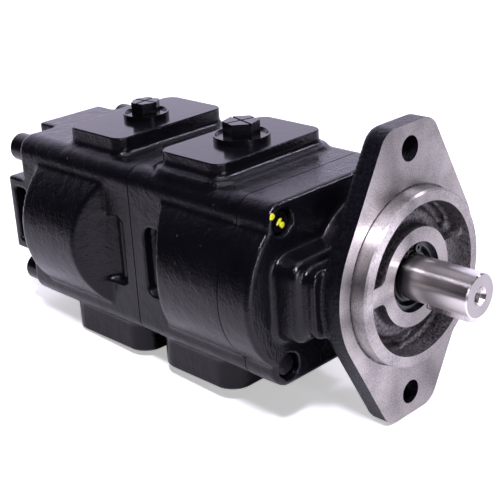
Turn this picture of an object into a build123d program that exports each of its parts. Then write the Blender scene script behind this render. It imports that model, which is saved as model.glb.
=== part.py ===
from build123d import *
import math
import os

# Two-section gear pump for a two-bolt pilot flange.
# Origin: centre of the pilot on the flange's mounting face. +X runs out along the drive shaft,
# +Z points to the outlet side, and the driven gears lie on the -Y side. Sizes in millimetres.

os.makedirs("parts", exist_ok=True)

# How far a raised form reaches into its base, and how near a plane an edge is picked
root_overlap = 1.0
pick_tolerance = 0.01

# Gears
gear_teeth = 11
gear_module = 3.618
pressure_angle = 25.0
gear_addendum = 3.4
gear_dedendum = 4.0
gear_backlash = 0.5
gear_width = 30.0
journal_radius = 14.0
journal_end_gap = 0.4

# Running and seating clearances
tip_clearance = 0.1
side_clearance = 0.05
journal_clearance = 0.04
block_clearance = 0.04
bush_seat_clearance = 0.02
spline_clearance = 0.06
seal_clearance = 0.05
bolt_hole_clearance = 0.6
thread_clearance = 0.05
dowel_clearance = 0.02
key_clearance = 0.03

# Bearing blocks and bushes
front_block_length = 28.0
rear_block_length = 20.0
bush_wall = 1.9
bush_setback = 0.8
block_seal_inner = 18.4
block_seal_width = 2.4
block_seal_depth = 1.8
block_seal_squeeze_gap = 0.05

# Castings along the shaft
cover_length = 58.0
cover_block_length = 23.0
front_housing_wall = 12.3
rear_housing_wall = 28.8
rear_arm_height = 18.0

# Cross-section shared by the castings
tie_bolt_spacing_y = 85.8
tie_bolt_spacing_z = 84.8
corner_radius = 11.6
bulge_inset = 1.5
front_bulge_setback = 41.5
rear_bulge_start = 37.5
rear_bulge_setback = 17.5
bulge_slope = 13.0
bulge_slope_overrun = 1.0
cast_edge_radius = 3.0
cast_corner_radius = 2.0

# Side pockets cast beside the joint between the housings
pocket_height = 43.0
pocket_drop = 1.5
pocket_depth = 6.5
front_pocket_setback = 11.0
rear_pocket_setback = 8.5
front_pocket_length = 16.5
pocket_corner_radius = 5.0
rear_pocket_climb = 8.6
rear_pocket_wall_run = 8.4
rear_pocket_rib_depth = 4.5
rear_pocket_rib_setback = 6.0
rear_pocket_rib_width = 4.1

# Ports: threaded outlets in the raised pads on top, threaded inlets in the pads below
outlet_pad_inset = 11.0
outlet_pad_length = 51.0
outlet_pad_height = 11.0
outlet_pad_corner = 8.0
outlet_step_flat = 0.4
outlet_step_height = 2.0
outlet_step_angle = 35.0
outlet_edge_chamfer = 0.6
pad_foot_radius = 4.0
outlet_bore_radius = 12.7
inlet_pad_inset = 6.5
front_inlet_pad_length = 67.0
front_inlet_pad_shift = 2.75
rear_inlet_pad_length = 74.0
inlet_pad_height = 19.0
inlet_pad_corner = 14.0
inlet_edge_chamfer = 1.5
inlet_bore_radius = 19.5
inlet_thread_depth = 20.0
inlet_spotface_radius = 29.0
inlet_spotface_depth = 0.8
inlet_passage_radius = 15.0
front_port_setback = 42.0
rear_port_setback = 43.0

# Mounting flange and pilot
flange_thickness = 13.0
flange_bolt_spacing = 146.05
flange_bolt_hole = 14.3
flange_waist_radius = 60.0
flange_tip_margin = 13.975
flange_tip_radius = 13.0
flange_tip_half_width = 12.4
pilot_diameter = 101.6
pilot_height = 9.47
pilot_ring_width = 6.6
pilot_chamfer = 1.0
pilot_relief_width = 1.2
pilot_relief_depth = 0.5

# Neck of the cover, between its block and the flange
neck_radius = 41.5
neck_flare_radius = 50.0
neck_flare_length = 8.0
driven_boss_reach = 33.5
driven_boss_height = 51.0
driven_boss_length = 15.0
driven_boss_corner = 11.0
driven_boss_side_angle = 7.0
driven_boss_edge = 4.0
driven_rib_reach = 26.5
driven_rib_height = 40.0
driven_rib_corner = 8.0

# Hollow behind the pilot ring, its two webs and the boss that holds the shaft seal
seal_boss_radius = 28.65
seal_boss_face = 4.5
hollow_floor = -4.5
hollow_deep_floor = -9.5
hollow_floor_fillet = 2.5
web_width = 11.0
far_web_width = 18.0
far_web_lift = 2.5
far_web_drop = 3.0
far_web_side_gap = 0.5
web_corner_radius = 5.0
trough_width = 6.5
trough_inset = 0.6
trough_web_gap = 10.0
trough_side_angle = 15.0
trough_corner_radius = 2.9
seal_bore_radius = 20.3
seal_bore_depth = 18.0
seal_thickness = 9.0
seal_setback = 4.5
seal_lip_depth = 4.0
seal_wall = 3.0
shaft_passage_clearance = 1.0
ring_thickness = 1.5
ring_groove_depth = 1.0
ring_width = 3.0
ring_gap_angle = 40.0
ring_ear_radius = 2.6
ring_ear_hole = 1.0

# Drive shaft
shaft_radius = 12.7
shaft_reach = 46.0
shaft_end_chamfer = 0.8
seal_journal_radius = 13.4
seal_journal_face = 2.0
shaft_tap_radius = 4.25
shaft_tap_depth = 22.0
shaft_countersink_radius = 5.6
shaft_countersink_angle = 60.0
key_width = 6.35
key_length = 31.5
key_height = 6.35
key_seat_radius = 9.15
key_end_setback = 2.7

# Splined coupling between the two sections
spline_teeth = 10
spline_outer_radius = 8.6
spline_root_radius = 7.2
coupling_length = 54.0
coupling_bore_depth = 23.0
coupling_passage_radius = 11.0

# Fasteners and seals of the joints
tie_bolt_radius = 6.0
tie_bolt_head_radius = 9.05
tie_bolt_head_height = 12.0
tie_bolt_socket = 10.0
tie_bolt_socket_depth = 6.0
tie_bolt_end_setback = 3.0
bolt_seat_height = 2.5
bolt_seat_setback = 1.5
lug_mouth_radius = 7.7
lug_mouth_depth = 7.0
dowel_radius = 4.0
dowel_length = 16.0
dowel_offset_y = 25.0
dowel_offset_z = 43.0
joint_seal_radius = 27.5
joint_seal_width = 2.4
joint_seal_depth = 1.9
joint_seal_gap = 0.05

# Plugs that close the outlets
front_plug_hex = 19.0
front_plug_hex_height = 7.6
front_plug_flange_radius = 16.8
front_plug_turn = -14.0
rear_plug_hex = 16.0
rear_plug_hex_height = 6.6
rear_plug_flange_radius = 14.3
rear_plug_turn = 7.0
plug_flange_thickness = 3.6
plug_dish_depth = 1.6
plug_dish_rim = 1.0
plug_dish_angle = 30.0
plug_stem_length = 12.0
plug_slot_width = 1.5
plug_slot_depth = 2.0
plug_thread_clearance = 0.1

# Rear end: a raised cross over the closed end of the rear housing
rear_arm_width = 50.0
arm_pocket_inset = 6.5
arm_pocket_depth = 14.0

# Derived sizes
centre_distance = gear_teeth * gear_module
centre_y = -centre_distance / 2
pitch_radius = centre_distance / 2
tip_radius = pitch_radius + gear_addendum
root_radius = pitch_radius - gear_dedendum
bore_radius = tip_radius + tip_clearance
block_radius = bore_radius - block_clearance
bush_inner_radius = journal_radius + journal_clearance
bush_outer_radius = bush_inner_radius + bush_wall
block_hole_radius = bush_outer_radius + bush_seat_clearance
front_journal_length = front_block_length - journal_end_gap
rear_journal_length = rear_block_length - journal_end_gap
cavity_depth = gear_width + front_block_length + rear_block_length + 4 * side_clearance
front_housing_length = cavity_depth + front_housing_wall
rear_housing_length = cavity_depth + rear_housing_wall

body_width = tie_bolt_spacing_y + 2 * corner_radius
body_height = tie_bolt_spacing_z + 2 * corner_radius
top_z = body_height / 2
bulge_radius = top_z - bulge_inset
bulge_rise = centre_distance / 2 + bulge_radius - body_width / 2 + bulge_slope_overrun
near_y = centre_y - body_width / 2
far_y = centre_y + body_width / 2
bolt_hole_radius = tie_bolt_radius + bolt_hole_clearance
bolt_seat_radius = corner_radius - bolt_seat_setback

cover_joint_x = -cover_length
cover_block_x = cover_joint_x + cover_block_length
middle_joint_x = cover_joint_x - front_housing_length
rear_face_x = middle_joint_x - rear_housing_length
arm_face_x = rear_face_x - rear_arm_height
flange_back_x = -flange_thickness
front_port_x = middle_joint_x + front_port_setback
rear_port_x = middle_joint_x - rear_port_setback

pilot_radius = pilot_diameter / 2
ring_inner_radius = pilot_radius - pilot_ring_width
hollow_middle_radius = (ring_inner_radius + seal_boss_radius) / 2
hollow_width = ring_inner_radius - seal_boss_radius
flange_tip_height = flange_bolt_spacing / 2 + flange_tip_margin
outlet_pad_width = body_width - 2 * outlet_pad_inset
inlet_pad_width = body_width - 2 * inlet_pad_inset
outlet_pad_z = top_z + outlet_pad_height
step_z = top_z + outlet_step_height
step_run = (outlet_step_height + root_overlap) * math.tan(math.radians(outlet_step_angle))
outlet_step_margin = pad_foot_radius + outlet_step_flat + step_run
inlet_pad_z = -top_z - inlet_pad_height


def edges_at(part, axis, place):
    """Edges of a part that lie in the plane at this place along an axis."""
    return part.edges().filter_by_position(axis, place - pick_tolerance, place + pick_tolerance)


def gear_axes():
    """The drive and driven gear axes, as places in a cross-section."""
    return Locations((0, 0), (-centre_distance, 0))


def bolt_axes():
    """The four tie-bolt axes, as places in a cross-section."""
    corners = []
    for y in (centre_y - tie_bolt_spacing_y / 2, centre_y + tie_bolt_spacing_y / 2):
        for z in (-tie_bolt_spacing_z / 2, tie_bolt_spacing_z / 2):
            corners.append((y, z))
    return Locations(*corners)


def dowel_axes():
    """Two dowels on a diagonal of each joint."""
    upper = (centre_y - dowel_offset_y, dowel_offset_z)
    lower = (centre_y + dowel_offset_y, -dowel_offset_z)
    return Locations(upper, lower)


def block_outline():
    """Cross-section of every casting: a block rounded about its tie bolts."""
    with Locations((centre_y, 0)):
        RectangleRounded(body_width, body_height, corner_radius)


def inside_pad(port_x):
    """Picks the edges that lie on or within an outlet pad's outline."""
    reach_x = outlet_pad_length / 2 + pick_tolerance
    reach_y = outlet_pad_width / 2 + pick_tolerance
    return lambda edge: abs(edge.center().X - port_x) < reach_x and abs(edge.center().Y - centre_y) < reach_y


def waist_wedge(bulge_x, side, towards):
    """Plan of what is cut from a bulge's end, so that it slopes down to the flat side."""
    flat = near_y if side < 0 else far_y
    crest = flat + side * bulge_rise
    return Polygon(
        (bulge_x, crest),
        (bulge_x + towards * bulge_slope, flat),
        (bulge_x + towards * 3 * bulge_slope, flat),
        (bulge_x + towards * 3 * bulge_slope, crest),
        align=None,
    )


def involute_point(radius, base_radius, start_angle):
    """A point of a tooth's flank at this radius."""
    roll = math.sqrt((radius / base_radius) ** 2 - 1)
    angle = start_angle - (roll - math.atan(roll))
    return (radius * math.cos(angle), radius * math.sin(angle))


# One gear tooth, pointing along the sketch's own x axis
base_radius = pitch_radius * math.cos(math.radians(pressure_angle))
tooth_angle = (math.pi * gear_module - gear_backlash) / (2 * pitch_radius) / 2
pitch_involute = math.tan(math.radians(pressure_angle)) - math.radians(pressure_angle)
flank_start = tooth_angle + pitch_involute
flank_radii = [base_radius + (tip_radius - base_radius) * step / 4 for step in range(5)]
flank = [involute_point(radius, base_radius, flank_start) for radius in flank_radii]
mirrored_flank = [(x, -y) for x, y in reversed(flank)]
foot_radius = root_radius - root_overlap
foot = (foot_radius * math.cos(flank_start), foot_radius * math.sin(flank_start))
with BuildSketch() as tooth:
    with BuildLine():
        Line(foot, flank[0])
        Spline(*flank)
        ThreePointArc(flank[-1], (tip_radius, 0), mirrored_flank[0])
        Spline(*mirrored_flank)
        Line(mirrored_flank[-1], (foot[0], -foot[1]))
        Line((foot[0], -foot[1]), foot)
    make_face()


def gear_section():
    """Gear teeth on their root circle, one tooth pointing along -Y."""
    Circle(root_radius)
    with PolarLocations(0, gear_teeth, start_angle=180):
        add(tooth.sketch)


def spline_section(clearance):
    """Square-sided splines, made larger by a clearance for the bores."""
    Circle(spline_root_radius + clearance)
    tooth_width = math.pi * spline_root_radius / spline_teeth + 2 * clearance
    length = spline_outer_radius + clearance
    with PolarLocations(0, spline_teeth):
        with Locations((length / 2, 0)):
            Rectangle(length, tooth_width)


# Front cover: joint block, neck, mounting flange, pilot and seal boss in one casting
with BuildPart() as front_cover:
    # Flange: the hull of its waist and its four tip corners, with a rough cast back edge
    with BuildSketch(Plane.YZ.offset(flange_back_x)):
        with BuildLine():
            CenterArc((0, 0), flange_waist_radius, 90, 360)
            for side in (-1, 1):
                for end in (-1, 1):
                    corner = (side * flange_tip_half_width, end * (flange_tip_height - flange_tip_radius))
                    CenterArc(corner, flange_tip_radius, 90 - 90 * side, 360)
        make_hull()
    extrude(amount=flange_thickness)
    fillet(front_cover.faces().sort_by(Axis.X)[0].edges(), cast_corner_radius)

    # Joint block with its two bulges
    with BuildSketch(Plane.YZ.offset(cover_joint_x)):
        block_outline()
        with gear_axes():
            Circle(bulge_radius)
    extrude(amount=cover_block_length)
    block_rim = edges_at(front_cover, Axis.X, cover_block_x)
    fillet(block_rim, cast_corner_radius)

    # Boss over the driven gear's end, drawn in towards the flange
    with BuildSketch(Plane.YZ.offset(cover_block_x)):
        with Locations((-centre_distance - driven_boss_reach, 0)):
            RectangleRounded(
                2 * driven_boss_reach, driven_boss_height, driven_boss_corner, align=(Align.MIN, Align.CENTER)
            )
    extrude(amount=driven_boss_length, taper=driven_boss_side_angle)
    boss_end_x = cover_block_x + driven_boss_length
    boss_rim = edges_at(front_cover, Axis.X, boss_end_x)
    fillet(boss_rim, driven_boss_edge)

    # Neck about the drive shaft, flared into the flange, and the rib that ties the boss to it
    flare_start = (flange_back_x - neck_flare_length, neck_radius)
    flare_end = (flange_back_x, neck_flare_radius)
    neck_end_x = flange_back_x + root_overlap
    with BuildSketch(Plane.XY):
        with BuildLine():
            Polyline(flare_start, (cover_block_x, neck_radius), (cover_block_x, 0), (neck_end_x, 0))
            Polyline((neck_end_x, 0), (neck_end_x, neck_flare_radius), flare_end)
            TangentArc(flare_start, flare_end, tangent=(1, 0))
        make_face()
    revolve(axis=Axis.X)
    with BuildSketch(Plane.YZ.offset(cover_block_x)):
        with Locations((-centre_distance - driven_rib_reach, 0)):
            RectangleRounded(
                2 * driven_rib_reach, driven_rib_height, driven_rib_corner, align=(Align.MIN, Align.CENTER)
            )
    extrude(amount=flange_back_x - cover_block_x + root_overlap)
    with BuildSketch(Plane.YZ):
        Circle(pilot_radius)
    extrude(amount=pilot_height)
    pilot_rim = front_cover.edges().filter_by(GeomType.CIRCLE).sort_by(Axis.X)[-1]
    chamfer(pilot_rim, pilot_chamfer)

    # Relief groove round the foot of the pilot
    with BuildSketch(Plane.YZ):
        Circle(pilot_radius + pilot_relief_width)
        Circle(pilot_radius, mode=Mode.SUBTRACT)
    extrude(amount=-pilot_relief_depth, mode=Mode.SUBTRACT)

    # Hollow between the pilot ring and the seal boss, crossed by a web on each side
    with BuildSketch(Plane.YZ.offset(pilot_height)):
        Circle(ring_inner_radius)
    extrude(amount=seal_boss_face - pilot_height, mode=Mode.SUBTRACT)
    with BuildSketch(Plane.YZ.offset(seal_boss_face)) as hollow:
        Circle(ring_inner_radius)
        Circle(seal_boss_radius, mode=Mode.SUBTRACT)
        with Locations((-hollow_middle_radius, 0)):
            Rectangle(2 * hollow_width, web_width, mode=Mode.SUBTRACT)
        with Locations((hollow_middle_radius, far_web_lift)):
            Rectangle(2 * hollow_width, far_web_width, mode=Mode.SUBTRACT)
        fillet(hollow.vertices(), web_corner_radius)
    extrude(amount=hollow_floor - seal_boss_face, mode=Mode.SUBTRACT)
    floor_rim = edges_at(front_cover, Axis.X, hollow_floor)
    fillet(floor_rim, hollow_floor_fillet)

    # Deeper troughs in the hollow's floor, along the ring
    with BuildSketch(Plane.YZ.offset(hollow_floor)) as troughs:
        Circle(ring_inner_radius - trough_inset)
        Circle(ring_inner_radius - trough_inset - trough_width, mode=Mode.SUBTRACT)
        with Locations((-hollow_middle_radius, 0)):
            Rectangle(2 * hollow_width, web_width + trough_web_gap, mode=Mode.SUBTRACT)
        with Locations((hollow_middle_radius, far_web_lift)):
            Rectangle(2 * hollow_width, far_web_width + trough_web_gap, mode=Mode.SUBTRACT)
        with Locations((-hollow_middle_radius, hollow_middle_radius)):
            Rectangle(2 * hollow_middle_radius, 2 * hollow_middle_radius, mode=Mode.SUBTRACT)
        fillet(troughs.vertices(), trough_corner_radius)
    extrude(amount=hollow_deep_floor - hollow_floor, taper=trough_side_angle, mode=Mode.SUBTRACT)

    # The far web's top is lower than the boss and left as cast
    with BuildSketch(Plane.YZ.offset(seal_boss_face)):
        Circle(ring_inner_radius)
        Circle(seal_boss_radius, mode=Mode.SUBTRACT)
        with Locations((hollow_middle_radius, far_web_lift)):
            Rectangle(2 * hollow_width, far_web_width + 2 * far_web_side_gap, mode=Mode.INTERSECT)
    extrude(amount=-far_web_drop, mode=Mode.SUBTRACT)

    # Seal bore, its ring groove and the shaft passage
    with BuildSketch(Plane.YZ.offset(seal_boss_face)):
        Circle(seal_bore_radius)
    extrude(amount=-seal_bore_depth, mode=Mode.SUBTRACT)
    ring_x = seal_boss_face - seal_setback
    with BuildSketch(Plane.YZ.offset(ring_x)):
        Circle(seal_bore_radius + ring_groove_depth)
    extrude(amount=ring_thickness + 2 * seal_clearance, mode=Mode.SUBTRACT)
    with BuildSketch(Plane.YZ.offset(cover_joint_x)):
        Circle(seal_journal_radius + shaft_passage_clearance)
    extrude(amount=cover_length, mode=Mode.SUBTRACT)

    # Flange holes, tie-bolt threads and dowel holes
    with BuildSketch(Plane.YZ):
        with Locations((0, -flange_bolt_spacing / 2), (0, flange_bolt_spacing / 2)):
            Circle(flange_bolt_hole / 2)
    extrude(amount=-flange_thickness, mode=Mode.SUBTRACT)
    with BuildSketch(Plane.YZ.offset(cover_joint_x)):
        with bolt_axes():
            Circle(tie_bolt_radius + thread_clearance)
    extrude(amount=cover_block_length, mode=Mode.SUBTRACT)
    with BuildSketch(Plane.YZ.offset(cover_block_x)):
        with bolt_axes():
            Circle(lug_mouth_radius)
    extrude(amount=-lug_mouth_depth, mode=Mode.SUBTRACT)
    with BuildSketch(Plane.YZ.offset(cover_joint_x)):
        with dowel_axes():
            Circle(dowel_radius + dowel_clearance)
    extrude(amount=dowel_length / 2, mode=Mode.SUBTRACT)


# Front gear housing: open at the cover, with a wall and a coupling passage at its rear
with BuildPart() as front_gear_housing:
    with BuildSketch(Plane.YZ.offset(middle_joint_x)):
        block_outline()
    extrude(amount=front_housing_length)
    front_bulge_x = middle_joint_x + front_bulge_setback
    with BuildSketch(Plane.YZ.offset(front_bulge_x - bulge_slope)):
        with gear_axes():
            Circle(bulge_radius)
    extrude(amount=cover_joint_x - front_bulge_x + bulge_slope)
    with BuildSketch(Plane.XY):
        waist_wedge(front_bulge_x, -1, -1)
        waist_wedge(front_bulge_x, 1, -1)
    extrude(amount=body_height / 2, both=True, mode=Mode.SUBTRACT)

    # Outlet pad on its low step, and the inlet pad below
    with BuildSketch(Plane.XY.offset(top_z - root_overlap)):
        with Locations((front_port_x, centre_y)):
            RectangleRounded(
                outlet_pad_length + 2 * outlet_step_margin,
                outlet_pad_width + 2 * outlet_step_margin,
                outlet_pad_corner + outlet_step_margin,
            )
    extrude(amount=outlet_step_height + root_overlap, taper=outlet_step_angle)
    with BuildSketch(Plane.XY.offset(top_z - root_overlap)):
        with Locations((front_port_x, centre_y)):
            RectangleRounded(outlet_pad_length, outlet_pad_width, outlet_pad_corner)
    extrude(amount=outlet_pad_height + root_overlap)
    chamfer(front_gear_housing.faces().sort_by(Axis.Z)[-1].edges(), outlet_edge_chamfer)
    pad_foot = edges_at(front_gear_housing, Axis.Z, step_z)
    fillet(pad_foot.filter_by(inside_pad(front_port_x)), pad_foot_radius)
    with BuildSketch(Plane.XY.offset(inlet_pad_z)):
        with Locations((front_port_x - front_inlet_pad_shift, centre_y)):
            RectangleRounded(front_inlet_pad_length, inlet_pad_width, inlet_pad_corner)
    extrude(amount=inlet_pad_height + root_overlap)
    chamfer(front_gear_housing.faces().sort_by(Axis.Z)[0].edges(), inlet_edge_chamfer)

    # Side pockets beside the joint
    for side in (-1, 1):
        side_y = near_y if side < 0 else far_y
        pocket_x = middle_joint_x + front_pocket_setback + front_pocket_length / 2
        with BuildSketch(Plane.XZ.offset(-side_y + side * pocket_depth)):
            with Locations((pocket_x, -pocket_drop)):
                RectangleRounded(front_pocket_length, pocket_height, pocket_corner_radius)
        extrude(amount=-side * (pocket_depth + bulge_radius), mode=Mode.SUBTRACT)

    # Gear cavity, coupling passage and ports
    with BuildSketch(Plane.YZ.offset(cover_joint_x)):
        with gear_axes():
            Circle(bore_radius)
    extrude(amount=-cavity_depth, mode=Mode.SUBTRACT)
    with BuildSketch(Plane.YZ.offset(middle_joint_x)):
        Circle(coupling_passage_radius)
    extrude(amount=front_housing_length - cavity_depth, mode=Mode.SUBTRACT)
    with BuildSketch(Plane.XY.offset(outlet_pad_z)):
        with Locations((front_port_x, centre_y)):
            Circle(outlet_bore_radius)
    extrude(amount=-outlet_pad_z, mode=Mode.SUBTRACT)
    with BuildSketch(Plane.XY.offset(inlet_pad_z)):
        with Locations((front_port_x, centre_y)):
            Circle(inlet_spotface_radius)
    extrude(amount=inlet_spotface_depth, mode=Mode.SUBTRACT)
    with BuildSketch(Plane.XY.offset(inlet_pad_z)):
        with Locations((front_port_x, centre_y)):
            Circle(inlet_bore_radius)
    extrude(amount=inlet_thread_depth, mode=Mode.SUBTRACT)
    with BuildSketch(Plane.XY.offset(inlet_pad_z)):
        with Locations((front_port_x, centre_y)):
            Circle(inlet_passage_radius)
    extrude(amount=-inlet_pad_z, mode=Mode.SUBTRACT)

    # Bolt holes, dowel holes and the groove of the cover seal
    with BuildSketch(Plane.YZ.offset(middle_joint_x)):
        with bolt_axes():
            Circle(bolt_hole_radius)
    extrude(amount=front_housing_length, mode=Mode.SUBTRACT)
    for face_x, direction in ((cover_joint_x, -1), (middle_joint_x, 1)):
        with BuildSketch(Plane.YZ.offset(face_x)):
            with dowel_axes():
                Circle(dowel_radius + dowel_clearance)
        extrude(amount=direction * dowel_length / 2, mode=Mode.SUBTRACT)
    with BuildSketch(Plane.YZ.offset(cover_joint_x)):
        with Locations((centre_y, 0)):
            SlotCenterToCenter(centre_distance, 2 * (joint_seal_radius + joint_seal_width))
            SlotCenterToCenter(centre_distance, 2 * joint_seal_radius, mode=Mode.SUBTRACT)
    extrude(amount=-joint_seal_depth, mode=Mode.SUBTRACT)


# What is cut for the rear housing's side pockets: from the bulge's slope a steeper wall runs down to the
# floor, and a low rib crosses the floor
rear_slope_x = middle_joint_x - rear_bulge_start + bulge_slope
rear_pocket_x = middle_joint_x - rear_pocket_setback
rib_end_x = rear_pocket_x - rear_pocket_rib_setback
rib_start_x = rib_end_x - rear_pocket_rib_width
pocket_start_x = rear_slope_x - rear_pocket_climb * bulge_slope / bulge_rise
with BuildPart() as rear_pockets:
    with BuildSketch(Plane.XY.offset(-pocket_drop)):
        for side in (-1, 1):
            side_y = near_y if side < 0 else far_y
            start_y = side_y + side * rear_pocket_climb
            floor_y = side_y - side * pocket_depth
            rib_y = side_y - side * rear_pocket_rib_depth
            Polygon(
                (pocket_start_x, start_y + side * root_overlap),
                (pocket_start_x, start_y),
                (pocket_start_x + rear_pocket_wall_run, floor_y),
                (rib_start_x, floor_y),
                (rib_start_x, rib_y),
                (rib_end_x, rib_y),
                (rib_end_x, floor_y),
                (rear_pocket_x, floor_y),
                (rear_pocket_x, side_y + side * root_overlap),
                (rear_slope_x, side_y + side * root_overlap),
                align=None,
            )
    extrude(amount=pocket_height / 2, both=True)
    fillet(edges_at(rear_pockets, Axis.X, rear_pocket_x).filter_by(Axis.Y), pocket_corner_radius)


# Rear gear housing: open at the middle joint, closed at its rear under the raised cross
with BuildPart() as rear_gear_housing:
    with BuildSketch(Plane.YZ.offset(rear_face_x)):
        block_outline()
    extrude(amount=rear_housing_length)
    rear_bulge_x = middle_joint_x - rear_bulge_start
    bulge_end_x = rear_face_x + rear_bulge_setback
    with BuildSketch(Plane.YZ.offset(bulge_end_x)):
        with gear_axes():
            Circle(bulge_radius)
    extrude(amount=rear_bulge_x - bulge_end_x + bulge_slope)
    bulge_rims = edges_at(rear_gear_housing, Axis.X, bulge_end_x)
    fillet(bulge_rims, cast_edge_radius)
    with BuildSketch(Plane.XY):
        waist_wedge(rear_bulge_x, -1, 1)
        waist_wedge(rear_bulge_x, 1, 1)
    extrude(amount=body_height / 2, both=True, mode=Mode.SUBTRACT)

    # Rear cross with its side recesses, and the seats of the bolt heads
    with BuildSketch(Plane.YZ.offset(arm_face_x)):
        with Locations((centre_y, 0)):
            Rectangle(rear_arm_width, body_height)
            Rectangle(body_width, rear_arm_width)
    extrude(amount=rear_arm_height)
    fillet(rear_gear_housing.faces().sort_by(Axis.X)[0].edges(), cast_corner_radius)
    recess_height = rear_arm_width - 2 * arm_pocket_inset
    for side_y, direction in ((near_y, 1), (far_y, -1)):
        with BuildSketch(Plane.XZ.offset(-side_y)):
            with Locations((arm_face_x + arm_pocket_inset, 0)):
                Rectangle(rear_arm_height - arm_pocket_inset, recess_height, align=(Align.MIN, Align.CENTER))
        extrude(amount=-direction * arm_pocket_depth, mode=Mode.SUBTRACT)
    with BuildSketch(Plane.YZ.offset(rear_face_x)):
        with bolt_axes():
            Circle(bolt_seat_radius)
    extrude(amount=-bolt_seat_height)

    # Outlet pad and inlet pad
    with BuildSketch(Plane.XY.offset(top_z - root_overlap)):
        with Locations((rear_port_x, centre_y)):
            RectangleRounded(outlet_pad_length, outlet_pad_width, outlet_pad_corner)
    extrude(amount=outlet_pad_height + root_overlap)
    chamfer(rear_gear_housing.faces().sort_by(Axis.Z)[-1].edges(), outlet_edge_chamfer)
    pad_foot = edges_at(rear_gear_housing, Axis.Z, top_z)
    fillet(pad_foot.filter_by(inside_pad(rear_port_x)), pad_foot_radius)
    with BuildSketch(Plane.XY.offset(inlet_pad_z)):
        with Locations((rear_port_x, centre_y)):
            RectangleRounded(rear_inlet_pad_length, inlet_pad_width, inlet_pad_corner)
    extrude(amount=inlet_pad_height + root_overlap)
    chamfer(rear_gear_housing.faces().sort_by(Axis.Z)[0].edges(), inlet_edge_chamfer)

    # Side pockets beside the joint
    add(rear_pockets.part, mode=Mode.SUBTRACT)

    # Gear cavity and ports
    with BuildSketch(Plane.YZ.offset(middle_joint_x)):
        with gear_axes():
            Circle(bore_radius)
    extrude(amount=-cavity_depth, mode=Mode.SUBTRACT)
    with BuildSketch(Plane.XY.offset(outlet_pad_z)):
        with Locations((rear_port_x, centre_y)):
            Circle(outlet_bore_radius)
    extrude(amount=-outlet_pad_z, mode=Mode.SUBTRACT)
    with BuildSketch(Plane.XY.offset(inlet_pad_z)):
        with Locations((rear_port_x, centre_y)):
            Circle(inlet_spotface_radius)
    extrude(amount=inlet_spotface_depth, mode=Mode.SUBTRACT)
    with BuildSketch(Plane.XY.offset(inlet_pad_z)):
        with Locations((rear_port_x, centre_y)):
            Circle(inlet_bore_radius)
    extrude(amount=inlet_thread_depth, mode=Mode.SUBTRACT)
    with BuildSketch(Plane.XY.offset(inlet_pad_z)):
        with Locations((rear_port_x, centre_y)):
            Circle(inlet_passage_radius)
    extrude(amount=-inlet_pad_z, mode=Mode.SUBTRACT)

    # Bolt holes, dowel holes and the groove of the middle seal
    with BuildSketch(Plane.YZ.offset(middle_joint_x)):
        with bolt_axes():
            Circle(bolt_hole_radius)
    extrude(amount=-rear_housing_length - bolt_seat_height, mode=Mode.SUBTRACT)
    with BuildSketch(Plane.YZ.offset(middle_joint_x)):
        with dowel_axes():
            Circle(dowel_radius + dowel_clearance)
    extrude(amount=-dowel_length / 2, mode=Mode.SUBTRACT)
    with BuildSketch(Plane.YZ.offset(middle_joint_x)):
        with Locations((centre_y, 0)):
            SlotCenterToCenter(centre_distance, 2 * (joint_seal_radius + joint_seal_width))
            SlotCenterToCenter(centre_distance, 2 * joint_seal_radius, mode=Mode.SUBTRACT)
    extrude(amount=-joint_seal_depth, mode=Mode.SUBTRACT)


for casting, name in (
    (front_cover, "front_cover"),
    (front_gear_housing, "front_gear_housing"),
    (rear_gear_housing, "rear_gear_housing"),
):
    casting.part.label = name
    export_step(casting.part, f"parts/{name}.step")


# Tie bolts, with hexagon sockets in their heads
head_seat_x = rear_face_x - bolt_seat_height
bolt_end_x = cover_block_x - tie_bolt_end_setback
with BuildPart() as tie_bolts:
    with BuildSketch(Plane.YZ.offset(head_seat_x)):
        with bolt_axes():
            Circle(tie_bolt_head_radius)
    extrude(amount=-tie_bolt_head_height)
    with BuildSketch(Plane.YZ.offset(head_seat_x)):
        with bolt_axes():
            Circle(tie_bolt_radius)
    extrude(amount=bolt_end_x - head_seat_x)
    with BuildSketch(Plane.YZ.offset(head_seat_x - tie_bolt_head_height)):
        with bolt_axes():
            RegularPolygon(tie_bolt_socket / 2, 6, major_radius=False)
    extrude(amount=tie_bolt_socket_depth, mode=Mode.SUBTRACT)
tie_bolts.part.label = "tie_bolts"
export_step(tie_bolts.part, "parts/tie_bolts.step")


# Dowels and seals of the two joints
for joint_x, joint_name in ((cover_joint_x, "cover_joint"), (middle_joint_x, "middle_joint")):
    with BuildPart() as dowels:
        with BuildSketch(Plane.YZ.offset(joint_x)):
            with dowel_axes():
                Circle(dowel_radius)
        extrude(amount=dowel_length / 2 - side_clearance, both=True)
    dowels.part.label = joint_name + "_dowels"
    export_step(dowels.part, f"parts/{joint_name}_dowels.step")

    with BuildPart() as joint_seal:
        with BuildSketch(Plane.YZ.offset(joint_x - joint_seal_depth)):
            with Locations((centre_y, 0)):
                seal_outer = joint_seal_radius + joint_seal_width - joint_seal_gap
                seal_inner = joint_seal_radius + joint_seal_gap
                SlotCenterToCenter(centre_distance, 2 * seal_outer)
                SlotCenterToCenter(centre_distance, 2 * seal_inner, mode=Mode.SUBTRACT)
        extrude(amount=joint_seal_depth)
    joint_seal.part.label = joint_name + "_seal"
    export_step(joint_seal.part, f"parts/{joint_name}_seal.step")


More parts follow.
